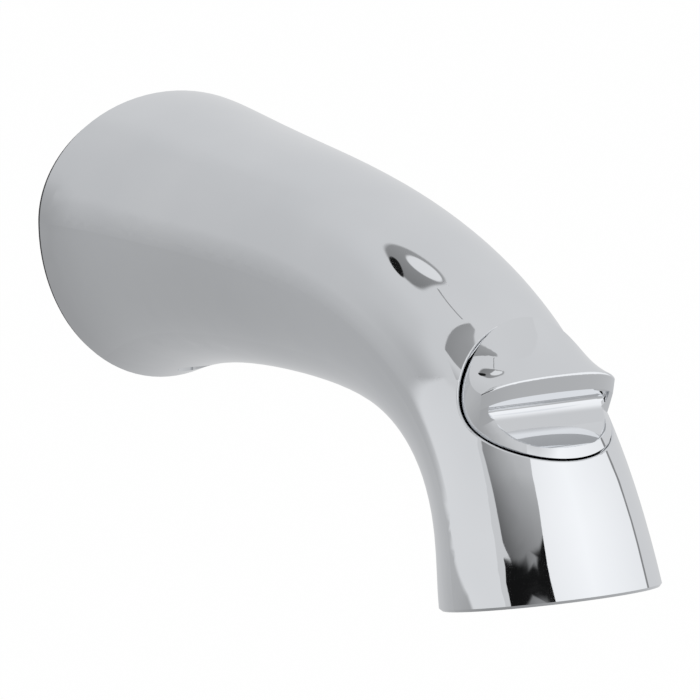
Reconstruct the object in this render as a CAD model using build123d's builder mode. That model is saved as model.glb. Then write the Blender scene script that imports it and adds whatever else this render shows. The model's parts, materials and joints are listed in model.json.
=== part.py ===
# Bath spout with a pull-out diverter, in millimetres.
# The origin is the middle of the pipe socket's mouth, a little in from the wall. The spout stands out from
# the wall along -Y, +Z is up and the spout is symmetrical about X = 0.
import os
from math import cos, radians, sin

from build123d import *

# Casting: a side line runs along its widest points, and the sections stand square to that line
base_height = 68.2
base_drop = 33.1  # from the pipe's axis down to the base's lower edge
base_half_width = 35.4
side_line_rise = 6.9  # the base is widest this far above the pipe's axis
root_handle = 79.5  # straight pull of the side line at the wall
tip_handle = 65.6  # straight pull of the side line at the outlet
outlet_reach = 158.2
outlet_drop = 53.9
outlet_lean = 12.2  # degrees forward of straight down
outlet_half_width = 24.0
outlet_front_depth = 23.2  # from the side line to the front of the outlet
outlet_back_depth = 21.4
casting_wall = 3.0
outlet_edge_bevel = 0.6

# Flange section: its place along the side line, then how far it is drawn in from the base
flange_place = 0.06
flange_side_step = 3.1
flange_top_step = 0.6
flange_bottom_step = 3.8

# Middle sections: place along the side line, half width, height above the line, depth below it
root_section = (0.18, 29.5, 24.9, 30.9)
neck_section = (0.41, 24.1, 21.8, 25.9)
shoulder_section = (0.60, 21.9, 19.7, 21.9)
bend_section = (0.77, 21.0, 19.6, 18.8)
tip_section = (0.90, 22.2, 20.6, 20.0)

# Inlet: a boss inside the base takes a brass sleeve for a half-inch copper stub
gasket_thickness = 1.0
gasket_inset = 0.6
gasket_width = 2.2
boss_start = 4.0
boss_wall = 3.0
boss_lip = 2.0  # width of the shoulder that stops the adaptor
boss_lip_length = 4.0
bulkhead_start = 16.0
bulkhead_thickness = 4.0
adaptor_start = 6.0  # from the wall to the mouth of the pipe socket
adaptor_length = 30.0
adaptor_radius = 12.0
adaptor_fit = 0.02
pipe_bore_radius = 8.05
pipe_stop_radius = 6.8
pipe_stop_length = 2.0
pipe_ring_section = 2.1
pipe_ring_places = (11.0, 6.0)  # from the adaptor's inner end
ring_side_room = 0.3
ring_fit = 0.03
adaptor_ring_section = 1.5
adaptor_ring_place = 12.5
circlip_thickness = 1.0
circlip_width = 2.2
circlip_groove_depth = 0.8
circlip_opening = 40.0  # degrees
screw_place = 12.5  # from the wall
screw_radius = 3.0
screw_length = 7.5
screw_pipe_gap = 0.3
screw_key_flats = 3.0
screw_key_depth = 3.5
screw_access_radius = 4.5

# Diverter: everything lies along the knob's axis, which stands nearly square to the arch
knob_place = 0.806  # along the side line
knob_centre_height = 20.2  # above the side line, level with the top of the arch
knob_axis_rise = 42.0  # degrees above level
knob_radius = 16.8
knob_gap = 0.3
knob_rear_rest = 0.2  # between the knob and its bumper
knob_recess_radius = 11.0
knob_recess_depth = 2.5
pocket_depth = 12.4  # from the knob's centre back to the pocket's floor
pocket_floor_thickness = 1.8
pocket_wall = 2.0
valve_room = 3.4  # water space between the pocket and the valve wall
valve_wall = 2.2
valve_shelf_drop = 10.0  # from the knob's axis down to the shelf under the valve
valve_riser_height = 11.0  # from the knob's axis up to the wall behind the valve
travel = 5.0

# Knob's face: height across the arch, then its level in the middle, at the quarters, shoulders and edges
face_places = (8.0, 13.0, 17.0)  # quarter, shoulder and edge, from the middle
face_rear = (17.5, -0.2, -1.5, -4.2, -8.2)
face_middle = (9.0, 1.0, -0.1, -2.9, -7.2)
lip_edge = (0.3, 2.9, 2.6, 1.7, -1.2)
lip_under = (-1.9, -0.2, -0.5, -1.4, -4.0)
lip_end_run = (-5.0, -3.0, -3.6, -6.4, -9.8)  # where the lip's ends have run out into the rim
lip_round = 0.6

# Finger recess, from the knob's axis: forward distance, then height
recess_top = -4.6
recess_middle = (-4.3, -9.0)
recess_end = (-0.7, -15.2)
recess_corner_radius = 1.2
recess_rim = 1.5
pocket_edge_radius = 0.4

# Valve pieces
stem_radius = 2.0
stem_thread_radius = 1.5
stem_fit = 0.03
stem_grip = 2.8  # length screwed into the knob
seat_bore_radius = 5.0
seat_body_radius = 8.0
seat_flange_radius = 9.2
seat_flange_thickness = 1.4
seat_lip_width = 1.2
seat_lip_height = 0.7
fibre_thickness = 0.5
bushing_thread_radius = 8.4
bushing_flange_radius = 10.0
bushing_flange_thickness = 2.2
bushing_tail = 1.0  # stands past the pocket's floor into the water space
gland_radius = 3.6
gland_depth = 2.4
stem_ring_section = 1.5
gland_washer_thickness = 0.6
bumper_thickness = 1.0
bumper_inner_radius = 14.0
bumper_outer_radius = 16.4
seal_seat_gap = 0.1  # left at the end of the travel
seal_washer_radius = 4.2
seal_washer_thickness = 0.8
disc_radius = 6.8
seal_radius = 7.0
seal_thickness = 1.8
disc_thickness = 1.5
nut_flats = 5.5
nut_thickness = 2.0
stem_end = 0.4  # thread that shows past the nut
spring_radius = 3.0
spring_wire_radius = 0.35
spring_turns = 6
spring_pocket_radius = 4.0
spring_pocket_depth = 1.0

# Side line of the casting, and the planes square to it
lean = radians(outlet_lean)
outlet_place = adaptor_start - outlet_reach
tip_handle_point = (outlet_place + tip_handle * sin(lean), -outlet_drop + tip_handle * cos(lean))
with BuildLine(Plane.YZ) as side_line:
    Bezier(
        (adaptor_start, side_line_rise),
        (adaptor_start - root_handle, side_line_rise),
        tip_handle_point,
        (outlet_place, -outlet_drop),
    )
side_edge = side_line.edge()

base_below = base_drop + side_line_rise
base_above = base_height - base_below
sections = [
    (0, base_half_width, base_above, base_below),
    (
        flange_place,
        base_half_width - flange_side_step,
        base_above - flange_top_step,
        base_below - flange_bottom_step,
    ),
    root_section,
    neck_section,
    shoulder_section,
    bend_section,
    tip_section,
    (1, outlet_half_width, outlet_front_depth, outlet_back_depth),
]


def section_plane(place):
    """The plane square to the side line, with its Y axis towards the top of the arch."""
    return Plane(origin=side_edge @ place, x_dir=(1, 0, 0), z_dir=side_edge % place)


def egg_wire(width, above, below):
    """Two half ellipses that meet at the widest points."""
    EllipticalCenterArc((0, 0), width, above, 0, arc_size=180)
    EllipticalCenterArc((0, 0), width, below, 180, arc_size=180)


def spout_form(inset):
    """The casting's outer form, drawn in by the inset."""
    with BuildPart() as form:
        for place, width, above, below in sections:
            with BuildSketch(section_plane(place)):
                with BuildLine():
                    egg_wire(width - inset, above - inset, below - inset)
                make_face()
        loft()
    return form.part


# Inlet planes: one square to the pipe's axis at the wall, one along it
inlet_plane = Plane(origin=(0, adaptor_start, 0), x_dir=(1, 0, 0), z_dir=(0, -1, 0))
inlet_side = Plane(origin=(0, adaptor_start, 0), x_dir=(0, -1, 0), z_dir=(-1, 0, 0))
inlet_axis = Axis((0, 0, 0), (0, -1, 0))
adaptor_end = adaptor_start + adaptor_length
boss_end = adaptor_end + boss_lip_length
boss_radius = adaptor_radius + boss_wall

# Knob planes: one square to the knob's axis at its centre, one along it
knob_section = section_plane(knob_place)
knob_centre = knob_section.origin + knob_section.y_dir * knob_centre_height
rise = radians(knob_axis_rise)
knob_plane = Plane(origin=knob_centre, x_dir=(1, 0, 0), z_dir=(0, -cos(rise), sin(rise)))
knob_side = Plane(origin=knob_centre, x_dir=knob_plane.z_dir, z_dir=(-1, 0, 0))
knob_axis = Axis(knob_centre, knob_plane.z_dir)
pocket_radius = knob_radius + knob_gap
past_casting = 2 * base_height  # reaches clear of the casting

# Stations along the knob's axis, forward of the knob's centre
pocket_floor = -pocket_depth
pocket_rear = pocket_floor - pocket_floor_thickness
valve_wall_front = pocket_rear - valve_room
valve_wall_back = valve_wall_front - valve_wall
seat_flange_front = valve_wall_back - fibre_thickness
seat_lip_base = seat_flange_front - seat_flange_thickness
seat_face = seat_lip_base - seat_lip_height
seal_front = seat_face - travel - seal_seat_gap
stem_shoulder = seal_front + seal_washer_thickness
seal_back = seal_front - seal_thickness
disc_back = seal_back - disc_thickness
nut_back = disc_back - nut_thickness
stem_tail = nut_back - stem_end
bumper_front = pocket_floor + bumper_thickness
knob_back = bumper_front + knob_rear_rest
knob_recess_floor = knob_back + knob_recess_depth
bushing_shoulder = pocket_floor + fibre_thickness
bushing_front = bushing_shoulder + bushing_flange_thickness
bushing_rear = pocket_rear - bushing_tail
spring_front = bushing_rear + spring_pocket_depth
gland_floor = bushing_front - gland_depth

# Hollow of the casting: the space inside its wall, less the bulkhead, boss, valve wall and knob pocket
with BuildPart() as hollow:
    add(spout_form(casting_wall))
    with BuildSketch(inlet_plane.offset(bulkhead_start)):
        Rectangle(past_casting, past_casting)
    extrude(amount=bulkhead_thickness, mode=Mode.SUBTRACT)
    with BuildSketch(inlet_plane.offset(boss_start)):
        Circle(boss_radius)
    extrude(amount=boss_end - boss_start, mode=Mode.SUBTRACT)
    with BuildSketch(knob_plane.offset(pocket_rear)):
        Circle(pocket_radius + pocket_wall)
    extrude(amount=past_casting, mode=Mode.SUBTRACT)
    with BuildSketch(knob_side):
        with BuildLine():
            Polyline(
                (past_casting, valve_riser_height),
                (past_casting, valve_riser_height + valve_wall),
                (valve_wall_back, valve_riser_height + valve_wall),
                (valve_wall_back, -valve_shelf_drop),
                (-past_casting, -valve_shelf_drop),
                (-past_casting, -valve_shelf_drop - valve_wall),
                (valve_wall_front, -valve_shelf_drop - valve_wall),
                (valve_wall_front, valve_riser_height),
                close=True,
            )
        make_face()
    extrude(amount=past_casting, both=True, mode=Mode.SUBTRACT)

# Spout body: one chrome-plated casting, open at the wall and at the outlet
with BuildPart() as spout_body:
    add(spout_form(0))
    outlet_edges = faces().sort_by(Axis((0, 0, 0), side_edge % 1))[-1].edges()
    chamfer(outlet_edges, outlet_edge_bevel)
    with BuildSketch(inlet_plane):
        Rectangle(past_casting, past_casting)
    extrude(amount=gasket_thickness, mode=Mode.SUBTRACT)
    add(hollow.part, mode=Mode.SUBTRACT)
    with BuildSketch(knob_plane.offset(pocket_floor)):
        Circle(pocket_radius)
    extrude(amount=past_casting, mode=Mode.SUBTRACT)
    pocket_side = faces().filter_by(GeomType.CYLINDER).sort_by(knob_axis)[-1]
    fillet(pocket_side.edges().filter_by(GeomType.BSPLINE), pocket_edge_radius)
    with BuildSketch(knob_plane.offset(pocket_rear)):
        Circle(bushing_thread_radius + stem_fit)
    extrude(amount=pocket_floor_thickness, mode=Mode.SUBTRACT)
    with BuildSketch(knob_plane.offset(valve_wall_back)):
        Circle(seat_body_radius + stem_fit)
    extrude(amount=valve_wall, mode=Mode.SUBTRACT)
    with BuildSketch(inlet_plane.offset(boss_start)):
        Circle(adaptor_radius + adaptor_fit)
    extrude(amount=adaptor_end - boss_start, mode=Mode.SUBTRACT)
    with BuildSketch(inlet_plane.offset(adaptor_end)):
        Circle(adaptor_radius - boss_lip)
    extrude(amount=boss_lip_length, mode=Mode.SUBTRACT)
    with BuildSketch(inlet_plane.offset(adaptor_start - circlip_thickness)):
        Circle(adaptor_radius + circlip_groove_depth)
    extrude(amount=circlip_thickness, mode=Mode.SUBTRACT)
    with BuildSketch(Plane.XY.offset(-pipe_bore_radius)):
        with Locations((0, adaptor_start - screw_place)):
            Circle(screw_radius)
    extrude(amount=-boss_radius, mode=Mode.SUBTRACT)
    with BuildSketch(Plane.XY.offset(-boss_radius - screw_radius)):
        with Locations((0, adaptor_start - screw_place)):
            Circle(screw_access_radius)
    extrude(amount=-base_height, mode=Mode.SUBTRACT)

# Wall gasket: a thin rubber ring under the edge of the base
with BuildPart() as wall_gasket:
    with BuildSketch(section_plane(0)):
        with BuildLine():
            egg_wire(base_half_width - gasket_inset, base_above - gasket_inset, base_below - gasket_inset)
        make_face()
        inner_inset = gasket_inset + gasket_width
        with BuildLine():
            egg_wire(base_half_width - inner_inset, base_above - inner_inset, base_below - inner_inset)
        make_face(mode=Mode.SUBTRACT)
    extrude(amount=gasket_thickness)

# Inlet adaptor: a turned brass sleeve with grooves for its seals and a stop for the pipe
pipe_groove_radius = pipe_bore_radius + pipe_ring_section + 2 * ring_fit
adaptor_groove_radius = adaptor_radius - adaptor_ring_section - 2 * ring_fit
with BuildPart() as inlet_adaptor:
    with BuildSketch(inlet_plane.offset(adaptor_start)):
        Circle(adaptor_radius)
        Circle(pipe_stop_radius, mode=Mode.SUBTRACT)
    extrude(amount=adaptor_length)
    with BuildSketch(inlet_plane.offset(adaptor_start)):
        Circle(pipe_bore_radius)
    extrude(amount=adaptor_length - pipe_stop_length, mode=Mode.SUBTRACT)
    for place in pipe_ring_places:
        with BuildSketch(inlet_plane.offset(adaptor_end - place - ring_side_room)):
            Circle(pipe_groove_radius)
        extrude(amount=pipe_ring_section + 2 * ring_side_room, mode=Mode.SUBTRACT)
    with BuildSketch(inlet_plane.offset(adaptor_start + adaptor_ring_place - ring_side_room)):
        Circle(adaptor_radius)
        Circle(adaptor_groove_radius, mode=Mode.SUBTRACT)
    extrude(amount=adaptor_ring_section + 2 * ring_side_room, mode=Mode.SUBTRACT)
    with BuildSketch(Plane.XY):
        with Locations((0, adaptor_start - screw_place)):
            Circle(screw_radius)
    extrude(amount=-boss_radius, mode=Mode.SUBTRACT)

# Circlip: an open spring ring in the boss, behind the adaptor
with BuildPart() as adaptor_circlip:
    with BuildSketch(inlet_plane.offset(adaptor_start - circlip_thickness)):
        Circle(adaptor_radius + circlip_groove_depth - ring_fit)
        Circle(adaptor_radius + circlip_groove_depth - circlip_width, mode=Mode.SUBTRACT)
        opening_half = radians(circlip_opening / 2)
        with BuildLine():
            Polyline(
                (0, 0),
                (past_casting * sin(opening_half), past_casting * cos(opening_half)),
                (-past_casting * sin(opening_half), past_casting * cos(opening_half)),
                close=True,
            )
        make_face(mode=Mode.SUBTRACT)
    extrude(amount=circlip_thickness)

# Adaptor seal: a rubber ring between the adaptor and the boss
with BuildPart() as adaptor_o_ring:
    with BuildSketch(inlet_side):
        with Locations(
            (
                adaptor_start + adaptor_ring_place + adaptor_ring_section / 2,
                adaptor_radius - adaptor_ring_section / 2 - ring_fit,
            )
        ):
            Circle(adaptor_ring_section / 2)
    revolve(axis=inlet_axis)


def pipe_ring(place):
    """A rubber ring in one of the adaptor's inner grooves."""
    with BuildPart() as ring:
        with BuildSketch(inlet_side):
            with Locations(
                (
                    adaptor_end - place + pipe_ring_section / 2,
                    pipe_bore_radius + pipe_ring_section / 2 + ring_fit,
                )
            ):
                Circle(pipe_ring_section / 2)
        revolve(axis=inlet_axis)
    return ring.part


# Pipe seals: two rubber rings that grip the copper stub
with BuildPart() as pipe_o_ring_rear:
    add(pipe_ring(pipe_ring_places[0]))

with BuildPart() as pipe_o_ring_front:
    add(pipe_ring(pipe_ring_places[1]))

# Set screw: a headless hexagon-socket screw, turned in from under the base
screw_top = -pipe_bore_radius - screw_pipe_gap
with BuildPart() as set_screw:
    with BuildSketch(Plane.XY.offset(screw_top)):
        with Locations((0, adaptor_start - screw_place)):
            Circle(screw_radius - stem_fit)
    extrude(amount=-screw_length)
    with BuildSketch(Plane.XY.offset(screw_top - screw_length)):
        with Locations((0, adaptor_start - screw_place)):
            RegularPolygon(screw_key_flats / 2, 6, major_radius=False)
    extrude(amount=screw_key_depth, mode=Mode.SUBTRACT)

# Valve seat: a turned brass ring in the valve wall, with a narrow raised lip towards the inlet
with BuildPart() as valve_seat:
    with BuildSketch(knob_plane.offset(seat_lip_base)):
        Circle(seat_flange_radius)
    extrude(amount=seat_flange_thickness)
    with BuildSketch(knob_plane.offset(seat_flange_front)):
        Circle(seat_body_radius)
    extrude(amount=valve_wall + fibre_thickness)
    with BuildSketch(knob_plane.offset(seat_face)):
        Circle(seat_bore_radius + seat_lip_width)
    extrude(amount=seat_lip_height)
    with BuildSketch(knob_plane.offset(seat_face)):
        Circle(seat_bore_radius)
    extrude(amount=past_casting, mode=Mode.SUBTRACT)

# Seat gasket: a fibre ring between the seat's flange and the valve wall
with BuildPart() as seat_gasket:
    with BuildSketch(knob_plane.offset(seat_flange_front)):
        Circle(seat_flange_radius)
        Circle(seat_body_radius + stem_fit, mode=Mode.SUBTRACT)
    extrude(amount=fibre_thickness)

# Stem bushing: a turned brass guide screwed into the pocket's floor
with BuildPart() as stem_bushing:
    with BuildSketch(knob_plane.offset(bushing_rear)):
        Circle(bushing_thread_radius)
    extrude(amount=bushing_shoulder - bushing_rear)
    with BuildSketch(knob_plane.offset(bushing_shoulder)):
        Circle(bushing_flange_radius)
    extrude(amount=bushing_flange_thickness)
    with BuildSketch(knob_plane.offset(bushing_rear)):
        Circle(stem_radius + stem_fit)
    extrude(amount=past_casting, mode=Mode.SUBTRACT)
    with BuildSketch(knob_plane.offset(gland_floor)):
        Circle(gland_radius)
    extrude(amount=gland_depth, mode=Mode.SUBTRACT)
    with BuildSketch(knob_plane.offset(bushing_rear)):
        Circle(spring_pocket_radius)
    extrude(amount=spring_pocket_depth, mode=Mode.SUBTRACT)

# Bushing washer: a fibre ring under the bushing's flange
with BuildPart() as bushing_washer:
    with BuildSketch(knob_plane.offset(pocket_floor)):
        Circle(bushing_flange_radius)
        Circle(bushing_thread_radius + stem_fit, mode=Mode.SUBTRACT)
    extrude(amount=fibre_thickness)

# Stem seal: a rubber ring in the bushing's gland
with BuildPart() as stem_o_ring:
    with BuildSketch(knob_side):
        with Locations(
            (gland_floor + stem_ring_section / 2 + ring_fit, stem_radius + stem_ring_section / 2 + stem_fit)
        ):
            Circle(stem_ring_section / 2)
    revolve(axis=knob_axis)

# Gland washer: pressed in over the stem seal
with BuildPart() as gland_washer:
    with BuildSketch(knob_plane.offset(bushing_front - gland_washer_thickness)):
        Circle(gland_radius)
        Circle(stem_radius + 2 * stem_fit, mode=Mode.SUBTRACT)
    extrude(amount=gland_washer_thickness)

# Knob bumper: a flat rubber ring on the pocket's floor
with BuildPart() as knob_bumper:
    with BuildSketch(knob_plane.offset(pocket_floor)):
        Circle(bumper_outer_radius)
        Circle(bumper_inner_radius, mode=Mode.SUBTRACT)
    extrude(amount=bumper_thickness)

# Return spring: a coil between the bushing and the seal washer that pushes the valve open
spring_length = spring_front - stem_shoulder
coil_height = spring_length - 2 * spring_wire_radius
coil_start = knob_plane.offset(stem_shoulder + spring_wire_radius)
with BuildPart() as return_spring:
    with BuildLine() as coil:
        Helix(
            pitch=coil_height / spring_turns,
            height=coil_height,
            radius=spring_radius,
            center=coil_start.origin,
            direction=coil_start.z_dir,
        )
    with BuildSketch(Plane(origin=coil.line @ 0, z_dir=coil.line % 0)):
        Circle(spring_wire_radius)
    sweep(is_frenet=True)


def face_section(height, middle, quarter, shoulder, edge):
    """One section across the knob's face, square to the arch's run."""
    across = Plane(
        origin=knob_centre + knob_plane.y_dir * height,
        x_dir=(1, 0, 0),
        z_dir=-knob_plane.y_dir,
    )
    quarter_place, shoulder_place, edge_place = face_places
    with BuildSketch(across) as section:
        with BuildLine():
            Spline(
                (-edge_place, edge),
                (-shoulder_place, shoulder),
                (-quarter_place, quarter),
                (0, middle),
                (quarter_place, quarter),
                (shoulder_place, shoulder),
                (edge_place, edge),
            )
            Polyline(
                (edge_place, edge),
                (edge_place, pocket_floor),
                (-edge_place, pocket_floor),
                (-edge_place, edge),
            )
        make_face()
    return section.sketch


# Finger recess under the lip: a round scoop straight across the knob, kept inside its rim
with BuildPart() as finger_recess:
    with BuildSketch(knob_side):
        with BuildLine():
            ThreePointArc((recess_top, lip_under[0]), recess_middle, recess_end)
            Polyline(
                recess_end,
                (past_casting, recess_end[1]),
                (past_casting, lip_under[0]),
                (recess_top, lip_under[0]),
            )
        make_face()
    extrude(amount=knob_radius, both=True)
    with BuildSketch(knob_plane.offset(knob_back)):
        Circle(knob_radius - recess_rim)
    extrude(amount=past_casting, mode=Mode.INTERSECT)
    fillet(faces().sort_by(knob_axis)[0].edges(), recess_corner_radius)

# Knob's upper form: a smooth face out to the lip, whose front slopes in and whose ends run down the rim
with BuildPart() as knob_upper:
    loft([face_section(*face_rear).face(), face_section(*face_middle).face(), face_section(*lip_edge).face()])
    loft([face_section(*lip_edge).face(), face_section(*lip_under).face()], ruled=True)
    loft([face_section(*lip_under).face(), face_section(*lip_end_run).face()], ruled=True)
    with BuildSketch(knob_plane.offset(knob_back)):
        Circle(knob_radius)
    extrude(amount=past_casting, mode=Mode.INTERSECT)
    upper_face = faces().filter_by(GeomType.BSPLINE).sort_by(Axis(knob_centre, knob_plane.y_dir))[-1]
    fillet(upper_face.edges().sort_by(Axis(knob_centre, knob_plane.y_dir))[0], lip_round)
    add(finger_recess.part, mode=Mode.SUBTRACT)

# Diverter knob: one plated casting whose lower front lies flush with the spout
with BuildPart() as diverter_knob:
    with BuildSketch(knob_plane.offset(knob_back)):
        Circle(knob_radius)
    extrude(amount=past_casting / 2)
    add(spout_form(0), mode=Mode.INTERSECT)
    with BuildSketch(knob_side):
        with Locations((0, lip_under[0] + past_casting / 2)):
            Rectangle(past_casting, past_casting)
    extrude(amount=past_casting, both=True, mode=Mode.SUBTRACT)
    add(finger_recess.part, mode=Mode.SUBTRACT)
    add(knob_upper.part)
    with BuildSketch(knob_plane.offset(knob_back)):
        Circle(knob_recess_radius)
    extrude(amount=knob_recess_depth, mode=Mode.SUBTRACT)
    with BuildSketch(knob_plane.offset(knob_recess_floor)):
        Circle(stem_radius + stem_fit)
    extrude(amount=stem_grip, mode=Mode.SUBTRACT)

# Diverter stem: a steel rod screwed into the knob, stepped down to a thread for the valve disc
with BuildPart() as diverter_stem:
    with BuildSketch(knob_plane.offset(stem_shoulder)):
        Circle(stem_radius)
    extrude(amount=knob_recess_floor + stem_grip - stem_shoulder)
    with BuildSketch(knob_plane.offset(stem_tail)):
        Circle(stem_thread_radius)
    extrude(amount=stem_shoulder - stem_tail)


def stem_washer(back, thickness, radius):
    """A round washer on the stem's thread."""
    with BuildPart() as washer:
        with BuildSketch(knob_plane.offset(back)):
            Circle(radius)
            Circle(stem_thread_radius + stem_fit, mode=Mode.SUBTRACT)
        extrude(amount=thickness)
    return washer.part


# Seal washer, rubber seal and brass backing disc, in order from the stem's shoulder
with BuildPart() as seal_washer:
    add(stem_washer(seal_front, seal_washer_thickness, seal_washer_radius))

with BuildPart() as disc_seal:
    add(stem_washer(seal_back, seal_thickness, seal_radius))

with BuildPart() as diverter_disc:
    add(stem_washer(disc_back, disc_thickness, disc_radius))

# Disc nut: a hexagon nut that clamps the disc and seal
with BuildPart() as disc_nut:
    with BuildSketch(knob_plane.offset(nut_back)):
        RegularPolygon(nut_flats / 2, 6, major_radius=False)
        Circle(stem_thread_radius + stem_fit, mode=Mode.SUBTRACT)
    extrude(amount=nut_thickness)

os.makedirs("parts", exist_ok=True)
pieces = {
    "spout_body": spout_body,
    "wall_gasket": wall_gasket,
    "inlet_adaptor": inlet_adaptor,
    "adaptor_circlip": adaptor_circlip,
    "adaptor_o_ring": adaptor_o_ring,
    "pipe_o_ring_rear": pipe_o_ring_rear,
    "pipe_o_ring_front": pipe_o_ring_front,
    "set_screw": set_screw,
    "valve_seat": valve_seat,
    "seat_gasket": seat_gasket,
    "stem_bushing": stem_bushing,
    "bushing_washer": bushing_washer,
    "stem_o_ring": stem_o_ring,
    "gland_washer": gland_washer,
    "knob_bumper": knob_bumper,
    "return_spring": return_spring,
    "diverter_knob": diverter_knob,
    "diverter_stem": diverter_stem,
    "seal_washer": seal_washer,
    "disc_seal": disc_seal,
    "diverter_disc": diverter_disc,
    "disc_nut": disc_nut,
}
for name, piece in pieces.items():
    piece.part.label = name
    export_step(piece.part, f"parts/{name}.step")
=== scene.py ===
import json
import math

import bpy
from mathutils import Matrix, Vector


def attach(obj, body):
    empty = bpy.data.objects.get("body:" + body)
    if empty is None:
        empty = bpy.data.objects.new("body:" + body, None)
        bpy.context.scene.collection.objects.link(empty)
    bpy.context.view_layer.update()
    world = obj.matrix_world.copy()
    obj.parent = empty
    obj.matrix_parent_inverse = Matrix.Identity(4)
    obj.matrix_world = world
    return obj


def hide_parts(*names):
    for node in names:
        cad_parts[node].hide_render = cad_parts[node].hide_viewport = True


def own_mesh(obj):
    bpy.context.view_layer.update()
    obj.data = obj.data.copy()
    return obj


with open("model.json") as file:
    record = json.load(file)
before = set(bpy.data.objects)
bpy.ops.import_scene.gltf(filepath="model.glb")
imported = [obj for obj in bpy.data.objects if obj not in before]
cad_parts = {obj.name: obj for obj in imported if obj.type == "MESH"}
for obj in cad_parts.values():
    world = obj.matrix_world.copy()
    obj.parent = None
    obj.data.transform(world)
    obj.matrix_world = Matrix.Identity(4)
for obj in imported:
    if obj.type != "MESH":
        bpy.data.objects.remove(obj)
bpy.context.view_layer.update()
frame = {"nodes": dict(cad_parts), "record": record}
nodes = frame["nodes"]

# Spout body: a hollow zinc casting, ground and buffed, then plated with nickel and bright chrome.
# It slides on a copper stub in the wall and is held by the set screw under its base.
CHROME_BRIGHT = (0.81, 0.82, 0.835, 1.0)
CHROME_SHADE = (0.775, 0.787, 0.805, 1.0)
CHROME_ROUGHNESS = (0.018, 0.045)
PLATING_CLOUD_SCALE = 24.0
BUFFING_MARK_SCALE = 420.0
TONE_SPAN = (0.35, 0.65)
ROUGHNESS_SPAN = (0.3, 0.7)


def new_finish(name):
    """A material with its shader and object coordinates, ready for its detail."""
    finish = bpy.data.materials.new(name)
    finish.use_nodes = True
    tree = finish.node_tree
    tree.nodes.clear()
    shader = tree.nodes.new("ShaderNodeBsdfPrincipled")
    out = tree.nodes.new("ShaderNodeOutputMaterial")
    tree.links.new(shader.outputs["BSDF"], out.inputs["Surface"])
    place = tree.nodes.new("ShaderNodeTexCoord")
    return finish, tree, shader, place.outputs["Object"]


def add_noise(tree, place, scale, detail=3.0, roughness=0.5):
    """Noise over the given coordinates, as a single value."""
    noise = tree.nodes.new("ShaderNodeTexNoise")
    noise.inputs["Scale"].default_value = scale
    noise.inputs["Detail"].default_value = detail
    noise.inputs["Roughness"].default_value = roughness
    tree.links.new(place, noise.inputs["Vector"])
    return noise.outputs["Fac"]


def add_tone(tree, value, shader, dark, light):
    """Base colour that runs between two tones of the same material."""
    ramp = tree.nodes.new("ShaderNodeValToRGB")
    for stop, position, colour in zip(ramp.color_ramp.elements, TONE_SPAN, (dark, light)):
        stop.position = position
        stop.color = colour
    tree.links.new(value, ramp.inputs["Fac"])
    tree.links.new(ramp.outputs["Color"], shader.inputs["Base Color"])


def add_roughness(tree, value, shader, roughness):
    """Roughness that varies between its least and its most."""
    spread = tree.nodes.new("ShaderNodeMapRange")
    spread.inputs["From Min"].default_value = ROUGHNESS_SPAN[0]
    spread.inputs["From Max"].default_value = ROUGHNESS_SPAN[1]
    spread.inputs["To Min"].default_value = roughness[0]
    spread.inputs["To Max"].default_value = roughness[1]
    tree.links.new(value, spread.inputs["Value"])
    tree.links.new(spread.outputs["Result"], shader.inputs["Roughness"])


def dress(node, finish):
    """Gives a CAD node its finish."""
    mesh = nodes[node].data
    mesh.materials.clear()
    mesh.materials.append(finish)


def chrome_plate(name):
    """Bright chrome with a faint cloud in the plating and fine buffing marks."""
    finish, tree, shader, place = new_finish(name)
    shader.inputs["Metallic"].default_value = 1.0
    cloud = add_noise(tree, place, PLATING_CLOUD_SCALE)
    marks = add_noise(tree, place, BUFFING_MARK_SCALE, detail=5.0, roughness=0.65)
    add_tone(tree, cloud, shader, CHROME_SHADE, CHROME_BRIGHT)
    add_roughness(tree, marks, shader, CHROME_ROUGHNESS)
    return finish


dress("spout_body", chrome_plate("spout_chrome"))

# Wall gasket and the other rubber seals: black nitrile, moulded with a dull skin.
# The gasket lies in the base's edge, the rings sit in their grooves, the bumper lies in the knob's
# pocket, and the valve's seal is clamped between its washer and its disc.
RUBBER_DARK = (0.012, 0.012, 0.013, 1.0)
RUBBER_LIGHT = (0.030, 0.030, 0.031, 1.0)
RUBBER_ROUGHNESS = (0.55, 0.75)
RUBBER_SKIN_SCALE = 900.0
RUBBER_SKIN_RELIEF = (0.25, 0.0002)
RUBBER_BLOOM_SCALE = 140.0
RUBBER_PIECES = (
    "wall_gasket", "adaptor_o_ring", "pipe_o_ring_rear", "pipe_o_ring_front",
    "stem_o_ring", "knob_bumper", "disc_seal",
)


def add_relief(tree, value, shader, relief):
    """Fine relief in the surface, given by its strength and its depth in metres."""
    bump = tree.nodes.new("ShaderNodeBump")
    bump.inputs["Strength"].default_value = relief[0]
    bump.inputs["Distance"].default_value = relief[1]
    tree.links.new(value, bump.inputs["Height"])
    tree.links.new(bump.outputs["Normal"], shader.inputs["Normal"])


rubber, tree, shader, place = new_finish("moulded_rubber")
skin = add_noise(tree, place, RUBBER_SKIN_SCALE, detail=4.0)
bloom = add_noise(tree, place, RUBBER_BLOOM_SCALE)
add_tone(tree, bloom, shader, RUBBER_DARK, RUBBER_LIGHT)
add_roughness(tree, bloom, shader, RUBBER_ROUGHNESS)
add_relief(tree, skin, shader, RUBBER_SKIN_RELIEF)
for node in RUBBER_PIECES:
    dress(node, rubber)

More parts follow.
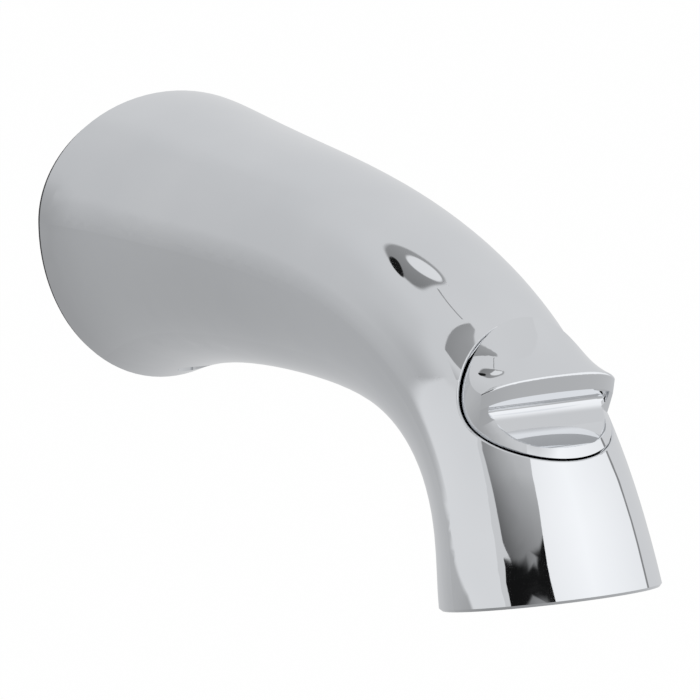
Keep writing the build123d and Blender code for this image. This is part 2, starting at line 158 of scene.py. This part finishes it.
# Inlet adaptor: a brass sleeve turned from bar, with fine tool rings round the pipe's axis.
# It is pushed into the base's inlet boss and takes the copper stub.
BRASS_DARK = (0.58, 0.40, 0.16, 1.0)
BRASS_LIGHT = (0.76, 0.56, 0.27, 1.0)
BRASS_ROUGHNESS = (0.20, 0.38)
BRASS = (BRASS_DARK, BRASS_LIGHT, BRASS_ROUGHNESS)
TOOL_RING_SCALE = 2600.0
TOOL_RING_RELIEF = (0.2, 0.00005)
TARNISH_SCALE = 160.0
PIPE_CENTRE = Vector((0, 0, 0))
PIPE_AXIS = Vector((0, 1, 0))


def round_axis(tree, place, centre, axis):
    """Coordinates that change with the distance from an axis and along it, but not round it."""
    turn = axis.rotation_difference(Vector((0, 0, 1))).to_matrix()
    mapping = tree.nodes.new("ShaderNodeMapping")
    mapping.inputs["Rotation"].default_value = turn.to_euler()
    mapping.inputs["Location"].default_value = -(turn @ centre)
    tree.links.new(place, mapping.inputs["Vector"])
    split = tree.nodes.new("ShaderNodeSeparateXYZ")
    tree.links.new(mapping.outputs["Vector"], split.inputs["Vector"])
    flat = tree.nodes.new("ShaderNodeCombineXYZ")
    tree.links.new(split.outputs["X"], flat.inputs["X"])
    tree.links.new(split.outputs["Y"], flat.inputs["Y"])
    radius = tree.nodes.new("ShaderNodeVectorMath")
    radius.operation = "LENGTH"
    tree.links.new(flat.outputs["Vector"], radius.inputs[0])
    rings = tree.nodes.new("ShaderNodeCombineXYZ")
    tree.links.new(radius.outputs["Value"], rings.inputs["X"])
    tree.links.new(split.outputs["Z"], rings.inputs["Z"])
    return rings.outputs["Vector"]


def turned_metal(name, metal, centre, axis):
    """Metal with tool rings round the axis it was turned on."""
    dark, light, roughness = metal
    finish, tree, shader, place = new_finish(name)
    shader.inputs["Metallic"].default_value = 1.0
    rings = add_noise(tree, round_axis(tree, place, centre, axis), TOOL_RING_SCALE, detail=2.0)
    tarnish = add_noise(tree, place, TARNISH_SCALE)
    add_tone(tree, tarnish, shader, dark, light)
    add_roughness(tree, rings, shader, roughness)
    add_relief(tree, rings, shader, TOOL_RING_RELIEF)
    return finish


dress("inlet_adaptor", turned_metal("adaptor_brass", BRASS, PIPE_CENTRE, PIPE_AXIS))

# Adaptor circlip: an open ring of spring steel.
# It snaps into a groove behind the adaptor and keeps it in the inlet boss.
STEEL_DARK = (0.40, 0.40, 0.395, 1.0)
STEEL_LIGHT = (0.56, 0.56, 0.55, 1.0)
STEEL_ROUGHNESS = (0.22, 0.40)
STEEL = (STEEL_DARK, STEEL_LIGHT, STEEL_ROUGHNESS)
dress("adaptor_circlip", turned_metal("circlip_steel", STEEL, PIPE_CENTRE, PIPE_AXIS))

# Set screw: a headless steel screw with a hexagon socket.
# It is turned in from under the base until it grips the copper stub.
SCREW_CENTRE = Vector((0, -0.0065, 0))
SCREW_AXIS = Vector((0, 0, 1))
dress("set_screw", turned_metal("screw_steel", STEEL, SCREW_CENTRE, SCREW_AXIS))

# Valve seat, stem bushing and gland washer: brass, turned on the knob's axis.
# The seat screws into the inner valve wall, the bushing screws into the floor of the knob's pocket,
# and the washer keeps the stem's seal in the bushing.
KNOB_CENTRE = Vector((0, -0.152168, -0.008363))
KNOB_AXIS = Vector(frame["record"]["behaviour"]["joints"][0]["axis"])
valve_brass = turned_metal("valve_brass", BRASS, KNOB_CENTRE, KNOB_AXIS)
for node in ("valve_seat", "stem_bushing", "gland_washer"):
    dress(node, valve_brass)

# Fibre rings: red vulcanised fibre, punched from sheet that shows short matted strands.
# One lies under the flange of the seat and one under the bushing.
FIBRE_DARK = (0.20, 0.055, 0.035, 1.0)
FIBRE_LIGHT = (0.36, 0.12, 0.075, 1.0)
FIBRE_ROUGHNESS = (0.65, 0.85)
FIBRE_STRAND_SCALE = 700.0
FIBRE_STRAND_STRETCH = (1.0, 0.2, 0.2)
FIBRE_STRAND_RELIEF = (0.3, 0.0001)
fibre, tree, shader, place = new_finish("punched_fibre")
strands = tree.nodes.new("ShaderNodeMapping")
strands.inputs["Scale"].default_value = FIBRE_STRAND_STRETCH
tree.links.new(place, strands.inputs["Vector"])
matting = add_noise(tree, strands.outputs["Vector"], FIBRE_STRAND_SCALE, detail=5.0)
add_tone(tree, matting, shader, FIBRE_DARK, FIBRE_LIGHT)
add_roughness(tree, matting, shader, FIBRE_ROUGHNESS)
add_relief(tree, matting, shader, FIBRE_STRAND_RELIEF)
for node in ("seat_gasket", "bushing_washer"):
    dress(node, fibre)

# Diverter stem, seal washer and disc nut: stainless steel, turned on the knob's axis.
# The stem is screwed into the knob, and the nut clamps the valve's disc at its other end.
stem_steel = turned_metal("stem_steel", STEEL, KNOB_CENTRE, KNOB_AXIS)
for node in ("diverter_stem", "seal_washer", "disc_nut"):
    dress(node, stem_steel)

# Diverter disc: a brass disc, turned as the seat is.
# It backs the rubber seal and is clamped on the stem by the nut.
dress("diverter_disc", valve_brass)

# Return spring: drawn steel wire, coiled with closed ends, between the bushing and the seal washer.
# It is squeezed as the knob is pulled out, and sends the knob back when the water stops.
SPRING_TURNS = 6.0
SPRING_RADIUS = 0.003
SPRING_REAR = -0.0267
SPRING_FRONT = -0.0142
WIRE_RADIUS = 0.00035
WIRE_SIDES = 14
WIRE_ROUGHNESS = (0.2, 0.35)
WIRE_GRAIN_SCALE = 1800.0
COIL_POINTS = 480
wire_steel, tree, shader, place = new_finish("wire_steel")
shader.inputs["Metallic"].default_value = 1.0
grain = add_noise(tree, place, WIRE_GRAIN_SCALE, detail=4.0)
add_tone(tree, grain, shader, STEEL_DARK, STEEL_LIGHT)
add_roughness(tree, grain, shader, WIRE_ROUGHNESS)


def number_node(tree, operation, first, second):
    """One step of arithmetic between sockets or plain numbers."""
    step = tree.nodes.new("ShaderNodeMath")
    step.operation = operation
    for socket, value in zip(step.inputs, (first, second)):
        if isinstance(value, (int, float)):
            socket.default_value = value
        elif value is not None:
            tree.links.new(value, socket)
    return step.outputs["Value"]


def coil_height(tree, turn, sizes):
    """Height of the wire's middle at a turn, with the first and last turn closed on its neighbour."""
    wire = number_node(tree, "MULTIPLY", sizes["Wire"], 2.0)
    last = number_node(tree, "SUBTRACT", sizes["Turns"], 1.0)
    first_part = number_node(tree, "MINIMUM", turn, 1.0)
    middle_end = number_node(tree, "MINIMUM", turn, last)
    middle_part = number_node(tree, "MAXIMUM", number_node(tree, "SUBTRACT", middle_end, 1.0), 0.0)
    last_part = number_node(tree, "MAXIMUM", number_node(tree, "SUBTRACT", turn, last), 0.0)
    closed = number_node(tree, "MULTIPLY", number_node(tree, "ADD", first_part, last_part), wire)
    closed_length = number_node(tree, "MULTIPLY", wire, 3.0)
    open_length = number_node(tree, "SUBTRACT", sizes["Length"], closed_length)
    open_turns = number_node(tree, "SUBTRACT", sizes["Turns"], 2.0)
    pitch = number_node(tree, "DIVIDE", open_length, open_turns)
    height = number_node(tree, "ADD", closed, number_node(tree, "MULTIPLY", middle_part, pitch))
    return number_node(tree, "ADD", height, sizes["Wire"])


def coil_tree():
    """Wire wound upwards in turns from its lower end."""
    tree = bpy.data.node_groups.new("wound_spring", "GeometryNodeTree")
    for name in ("Turns", "Radius", "Wire", "Length"):
        tree.interface.new_socket(name=name, in_out="INPUT", socket_type="NodeSocketFloat")
    tree.interface.new_socket(name="Wound", in_out="OUTPUT", socket_type="NodeSocketGeometry")
    sizes = tree.nodes.new("NodeGroupInput").outputs
    line = tree.nodes.new("GeometryNodeCurvePrimitiveLine")
    points = tree.nodes.new("GeometryNodeResampleCurve")
    points.inputs["Count"].default_value = COIL_POINTS
    along = tree.nodes.new("GeometryNodeSplineParameter")
    turn = number_node(tree, "MULTIPLY", along.outputs["Factor"], sizes["Turns"])
    angle = number_node(tree, "MULTIPLY", turn, 2 * math.pi)
    spot = tree.nodes.new("ShaderNodeCombineXYZ")
    for socket, operation in (("X", "COSINE"), ("Y", "SINE")):
        swing = number_node(tree, operation, angle, None)
        tree.links.new(number_node(tree, "MULTIPLY", swing, sizes["Radius"]), spot.inputs[socket])
    tree.links.new(coil_height(tree, turn, sizes), spot.inputs["Z"])
    wind = tree.nodes.new("GeometryNodeSetPosition")
    section = tree.nodes.new("GeometryNodeCurvePrimitiveCircle")
    section.inputs["Resolution"].default_value = WIRE_SIDES
    sweep = tree.nodes.new("GeometryNodeCurveToMesh")
    sweep.inputs["Fill Caps"].default_value = True
    plain = tree.nodes.new("GeometryNodeRealizeInstances")
    finish = tree.nodes.new("GeometryNodeSetMaterial")
    finish.inputs["Material"].default_value = wire_steel
    out = tree.nodes.new("NodeGroupOutput")
    tree.links.new(line.outputs["Curve"], points.inputs["Curve"])
    tree.links.new(points.outputs["Curve"], wind.inputs["Geometry"])
    tree.links.new(spot.outputs["Vector"], wind.inputs["Position"])
    tree.links.new(wind.outputs["Geometry"], sweep.inputs["Curve"])
    tree.links.new(sizes["Wire"], section.inputs["Radius"])
    tree.links.new(section.outputs["Curve"], sweep.inputs["Profile Curve"])
    tree.links.new(sweep.outputs["Mesh"], plain.inputs["Geometry"])
    tree.links.new(plain.outputs["Geometry"], finish.inputs["Geometry"])
    tree.links.new(finish.outputs["Geometry"], out.inputs["Wound"])
    return tree


def realized(tree, sizes):
    """A plain mesh of what a tree makes with the given sizes."""
    holder = bpy.data.objects.new("holder", bpy.data.meshes.new("holder"))
    bpy.context.collection.objects.link(holder)
    maker = holder.modifiers.new("maker", "NODES")
    maker.node_group = tree
    for item in tree.interface.items_tree:
        if item.in_out == "INPUT":
            maker[item.identifier] = sizes[item.name]
    graph = bpy.context.evaluated_depsgraph_get()
    mesh = bpy.data.meshes.new_from_object(holder.evaluated_get(graph))
    bpy.data.objects.remove(holder)
    return mesh


spring_sizes = {
    "Turns": SPRING_TURNS,
    "Radius": SPRING_RADIUS,
    "Wire": WIRE_RADIUS,
    "Length": SPRING_FRONT - SPRING_REAR,
}
spring_mesh = realized(coil_tree(), spring_sizes)
upright_to_knob = Vector((0, 0, 1)).rotation_difference(KNOB_AXIS).to_matrix().to_4x4()
spring_mesh.transform(Matrix.Translation(KNOB_CENTRE + KNOB_AXIS * SPRING_REAR) @ upright_to_knob)
spring_mesh.shade_smooth()
spring = bpy.data.objects.new("wound_return_spring", spring_mesh)
bpy.context.collection.objects.link(spring)
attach(spring, "spout")
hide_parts("return_spring")
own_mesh(spring)

# Diverter knob: a smaller zinc casting with the same plating, buffed all over.
# It is screwed on the front of the stem and sits in the pocket in the arch.
dress("diverter_knob", chrome_plate("knob_chrome"))

# Studio floor: white paper well below the spout, which hangs on a wall that isn't shown.
# The camera and the chrome see it white, and it keeps a soft shadow.
FLOOR_LEVEL = -2.0
FLOOR_SIZE = 40.0
FLOOR_WHITE = 0.97
PAPER_DARK = (0.88, 0.88, 0.88, 1.0)
PAPER_LIGHT = (0.90, 0.90, 0.90, 1.0)
PAPER_GRAIN_SCALE = 30.0
PAPER_ROUGHNESS = 0.9
bpy.ops.mesh.primitive_plane_add(size=FLOOR_SIZE, location=(0, 0, FLOOR_LEVEL))
floor = bpy.context.object
floor.name = "studio_floor"
floor_paper, tree, shader, place = new_finish("floor_paper")
add_tone(tree, add_noise(tree, place, PAPER_GRAIN_SCALE), shader, PAPER_DARK, PAPER_LIGHT)
shader.inputs["Roughness"].default_value = PAPER_ROUGHNESS
path = tree.nodes.new("ShaderNodeLightPath")
seen = number_node(tree, "MAXIMUM", path.outputs["Is Camera Ray"], path.outputs["Is Glossy Ray"])
seen = number_node(tree, "MAXIMUM", seen, path.outputs["Is Transmission Ray"])
white = tree.nodes.new("ShaderNodeEmission")
mix = tree.nodes.new("ShaderNodeMixShader")
tree.links.new(number_node(tree, "MULTIPLY", seen, FLOOR_WHITE), mix.inputs["Fac"])
tree.links.new(shader.outputs["BSDF"], mix.inputs[1])
tree.links.new(white.outputs["Emission"], mix.inputs[2])
tree.links.new(mix.outputs["Shader"], tree.nodes["Material Output"].inputs["Surface"])
floor.data.materials.append(floor_paper)

# Studio world: even white light from all round, at a plain level.
# It is also the white backdrop above the floor.
WORLD_WHITE = (1, 1, 1, 1)
WORLD_STRENGTH = 1.0
world = bpy.data.worlds.new("studio_world")
bpy.context.scene.world = world
world.use_nodes = True
sky = world.node_tree.nodes["Background"]
sky.inputs["Color"].default_value = WORLD_WHITE
sky.inputs["Strength"].default_value = WORLD_STRENGTH

# Paper walls: a round tent of pale paper, with greyer sheets hung in it at the sides.
# Each card hangs by its corners, in degrees round from the front and up from level, at a distance in
# metres. Only the chrome sees the cards.
TENT_DISTANCE = 9.0
WALL_DISTANCE = 8.9
SKIRTING_DISTANCE = 8.85
SIDE_SHEET_DISTANCE = 8.8
CARD_TINT = (0.985, 0.995, 1.01, 1.0)
CARD_STEPS = 32
FADE_STEPS = 8
OVAL_FADE = 0.12
card_paper = bpy.data.materials.new("card_paper")
card_paper.use_nodes = True
card_paper.cycles.emission_sampling = "NONE"
tree = card_paper.node_tree
tree.nodes.clear()
glow = tree.nodes.new("ShaderNodeEmission")
glow.inputs["Color"].default_value = CARD_TINT
clear = tree.nodes.new("ShaderNodeBsdfTransparent")
mix = tree.nodes.new("ShaderNodeMixShader")
out = tree.nodes.new("ShaderNodeOutputMaterial")
tone = tree.nodes.new("ShaderNodeAttribute")
tone.attribute_name = "tone"
cover = tree.nodes.new("ShaderNodeAttribute")
cover.attribute_name = "cover"
tree.links.new(tone.outputs["Fac"], glow.inputs["Strength"])
tree.links.new(cover.outputs["Fac"], mix.inputs["Fac"])
tree.links.new(clear.outputs["BSDF"], mix.inputs[1])
tree.links.new(glow.outputs["Emission"], mix.inputs[2])
tree.links.new(mix.outputs["Shader"], out.inputs["Surface"])


def card_steps(near, far):
    """Places across a card, closer together where an edge fades."""
    inner = [near + (1 - near - far) * i / CARD_STEPS for i in range(CARD_STEPS + 1)]
    first = [near * i / FADE_STEPS for i in range(FADE_STEPS)] if near else []
    last = [1 - far + far * (i + 1) / FADE_STEPS for i in range(FADE_STEPS)] if far else []
    return first + inner + last


def edge_cover(place, near, far):
    """Cover of a card at a place across it, fading over the given share at each edge."""
    share = 1.0
    if near:
        share = min(share, max(0.0, place / near))
    if far:
        share = min(share, max(0.0, (1 - place) / far))
    return share * share * (3 - 2 * share)


def card_direction(corners, weights):
    """Direction from the spout to a place between a card's corners."""
    round_angle = math.radians(sum(w * c[0] for w, c in zip(weights, corners)))
    up_angle = math.radians(sum(w * c[1] for w, c in zip(weights, corners)))
    return Vector((
        math.sin(round_angle) * math.cos(up_angle),
        -math.cos(round_angle) * math.cos(up_angle),
        math.sin(up_angle),
    ))


def studio_card(
    name, corners, tones, soft=(0, 0, 0, 0), distance=TENT_DISTANCE,
    level=None, oval=False, middle=Vector((0, 0, 0)),
):
    """A card between its corners, low left, low right, high right and high left, each with its tone.

    Its left, right, low and high edges fade over the given shares of its size, and it may be cut oval.
    It hangs at a distance from the given middle, or lies flat at a level.
    """
    points = []
    faces = []
    shades = []
    covers = []
    columns = card_steps(soft[0], soft[1])
    rows = card_steps(soft[2], soft[3])
    for row, up in enumerate(rows):
        for column, across in enumerate(columns):
            weights = ((1 - across) * (1 - up), across * (1 - up), across * up, (1 - across) * up)
            away = card_direction(corners, weights)
            points.append(middle + away * (level / away.z if level else distance))
            shades.append(sum(w * t for w, t in zip(weights, tones)))
            if oval:
                covers.append(edge_cover(math.hypot(2 * across - 1, 2 * up - 1), 0, OVAL_FADE))
            else:
                covers.append(edge_cover(across, soft[0], soft[1]) * edge_cover(up, soft[2], soft[3]))
            if row and column:
                corner = row * len(columns) + column
                below = corner - len(columns)
                faces.append((below - 1, below, corner, corner - 1))
    mesh = bpy.data.meshes.new(name)
    mesh.from_pydata(points, [], faces)
    for attribute, values in (("tone", shades), ("cover", covers)):
        mesh.attributes.new(attribute, "FLOAT", "POINT").data.foreach_set("value", values)
    mesh.materials.append(card_paper)
    card = bpy.data.objects.new(name, mesh)
    bpy.context.collection.objects.link(card)
    card.visible_camera = False
    card.visible_diffuse = False
    card.visible_shadow = False


studio_card(
    "tent",
    corners=((-180, -3), (180, -3), (180, 89.9), (-180, 89.9)),
    tones=(0.68, 0.68, 0.735, 0.735),
)
studio_card(
    "back_left_wall",
    corners=((-200, -4), (-105, -4), (-105, 60), (-200, 60)),
    tones=(0.60, 0.62, 0.65, 0.69),
    soft=(0.3, 0.1, 0, 0.35),
    distance=WALL_DISTANCE,
)
studio_card(
    "skirting",
    corners=((-200, -9), (-105, -9), (-105, 15), (-200, 15)),
    tones=(0.58, 0.44, 0.63, 0.63),
    soft=(0, 0.1, 0.25, 0.3),
    distance=SKIRTING_DISTANCE,
)
studio_card(
    "corner_shade",
    corners=((-134, -14), (-98, -14), (-98, 42), (-134, 42)),
    tones=(0.40, 0.36, 0.54, 0.60),
    soft=(0.6, 0.1, 0.15, 0.5),
    distance=SIDE_SHEET_DISTANCE,
)
studio_card(
    "right_wall",
    corners=((89, -12), (190, -12), (190, 84), (89, 84)),
    tones=(0.74, 0.70, 0.70, 0.76),
    soft=(0.01, 0.25, 0.12, 0.4),
    distance=SIDE_SHEET_DISTANCE,
)

# Panels at the front left: a pale board close to the spout's tip, a dark panel and a black flag.
# The board lights the tip's left side, and the other two draw the dark band beside the knob.
SPOUT_TIP = Vector((0, -0.145, -0.03))
BOARD_DISTANCE = 0.22
DARK_PANEL_DISTANCE = 8.7
FLAG_DISTANCE = 8.6
FLAG_BLACK = 0.008
studio_card(
    "left_panel",
    corners=((-142, -8), (-66, -10), (-90, 38), (-101, 40)),
    tones=(0.83, 0.84, 0.78, 0.74),
    soft=(0.06, 0.004, 0.05, 0.12),
    distance=BOARD_DISTANCE,
    middle=SPOUT_TIP,
)
studio_card(
    "dark_panel",
    corners=((-72, 20), (-25, 20), (-25, 50), (-100, 48)),
    tones=(0.12, 0.18, 0.74, 0.60),
    soft=(0.03, 0, 0, 0.2),
    distance=DARK_PANEL_DISTANCE,
)
studio_card(
    "black_flag",
    corners=((-69, 4), (-25, 4), (-25, 30.2), (-72, 18)),
    tones=(FLAG_BLACK,) * 4,
    soft=(0.01, 0, 0.1, 0.03),
    distance=FLAG_DISTANCE,
)

# Softbox: a wide white cloth at the front, brightest in its middle, in two halves.
# A narrow dark frame closes it on the right.
SOFTBOX_DISTANCE = 8.5
SOFTBOX_FRAME_DISTANCE = 8.4
SOFTBOX_FRAME_GREY = 0.28
studio_card(
    "softbox_left",
    corners=((-25, -12), (20, -12), (20, 50), (-25, 50)),
    tones=(1.02, 1.13, 1.13, 1.02),
    soft=(0, 0, 0.1, 0.1),
    distance=SOFTBOX_DISTANCE,
)
studio_card(
    "softbox_right",
    corners=((20, -12), (88, -12), (88, 50), (20, 50)),
    tones=(1.13, 1.0, 1.0, 1.13),
    soft=(0, 0.01, 0.1, 0.1),
    distance=SOFTBOX_DISTANCE,
)
studio_card(
    "softbox_frame",
    corners=((86.5, -12), (90.5, -12), (90.5, 50), (86.5, 50)),
    tones=(SOFTBOX_FRAME_GREY,) * 4,
    soft=(0.2, 0.2, 0.1, 0.3),
    distance=SOFTBOX_FRAME_DISTANCE,
)

# Lamp: a grey studio lamp high behind the spout, with its stand, arm, shade and bulb.
# Its mirror image makes the oval mark behind the knob and the fine line beside it.
LAMP_STAND_DISTANCE = 8.6
LAMP_SHADE_DISTANCE = 8.5
LAMP_BULB_DISTANCE = 8.4
LAMP_ARM_DISTANCE = 8.3
LAMP_MOUTH_BLACK = 0.01
LAMP_ARM_GREY = 0.3
studio_card(
    "lamp_stand",
    corners=((-99.2, 50), (-74, 48), (-74, 86), (-97.5, 86)),
    tones=(0.30, 0.40, 0.42, 0.34),
    soft=(0.02, 0.2, 0.02, 0.05),
    distance=LAMP_STAND_DISTANCE,
)
studio_card(
    "lamp_shade",
    corners=((-206, 66), (-131, 58), (-131, 74), (-206, 80)),
    tones=(0.40, 0.22, 0.24, 0.38),
    distance=LAMP_SHADE_DISTANCE,
    oval=True,
)
studio_card(
    "lamp_bulb",
    corners=((-199, 69), (-161, 65.5), (-161, 75.5), (-199, 77.5)),
    tones=(0.86, 0.84, 0.84, 0.88),
    distance=LAMP_BULB_DISTANCE,
    oval=True,
)
studio_card(
    "lamp_mouth",
    corners=((-158, 62), (-137, 60), (-137, 63.5), (-158, 65.8)),
    tones=(LAMP_MOUTH_BLACK,) * 4,
    distance=LAMP_BULB_DISTANCE,
    oval=True,
)
studio_card(
    "lamp_arm",
    corners=((-156, 76), (-106, 81), (-106, 82.2), (-156, 77)),
    tones=(LAMP_ARM_GREY,) * 4,
    soft=(0, 0, 0.2, 0.2),
    distance=LAMP_ARM_DISTANCE,
)

# Floor cards: grey cards laid just above the floor, with painted shade that makes them darker under
# the spout than far from it.
# They keep the underside of the spout from mirroring plain white.
FLOOR_CARD_LIFT = 0.01
FLOOR_CARD_LEVEL = FLOOR_LEVEL + FLOOR_CARD_LIFT
studio_card(
    "floor_card_left",
    corners=((-180, -89), (-118, -89), (-118, -2), (-180, -2)),
    tones=(0.27, 0.28, 0.43, 0.66),
    level=FLOOR_CARD_LEVEL,
)
studio_card(
    "floor_card_front",
    corners=((-118, -89), (120, -89), (120, -2), (-118, -2)),
    tones=(0.28, 0.36, 0.72, 0.43),
    level=FLOOR_CARD_LEVEL,
)
studio_card(
    "floor_card_right",
    corners=((120, -89), (180, -89), (180, -2), (120, -2)),
    tones=(0.36, 0.25, 0.66, 0.72),
    level=FLOOR_CARD_LEVEL,
)

# Camera: a long lens from the front left and a little above, as in the photograph.
# Its shift only sets where the spout lies in the frame.
CAMERA_PLACE = Vector((-0.5486, -0.9448, 0.1824))
CAMERA_BACK = Vector((-0.522, -0.833, 0.183))
CAMERA_LENS = 243.4
CAMERA_SENSOR = 36.0
CAMERA_SHIFT = (0.0152, -0.0286)
camera_data = bpy.data.cameras.new("studio_camera")
camera_data.lens = CAMERA_LENS
camera_data.sensor_width = CAMERA_SENSOR
camera_data.shift_x, camera_data.shift_y = CAMERA_SHIFT
camera = bpy.data.objects.new("studio_camera", camera_data)
bpy.context.collection.objects.link(camera)
camera.location = CAMERA_PLACE
camera.rotation_euler = (-CAMERA_BACK).to_track_quat("-Z", "Y").to_euler()
bpy.context.scene.camera = camera
bpy.context.scene.view_settings.view_transform = "Standard"
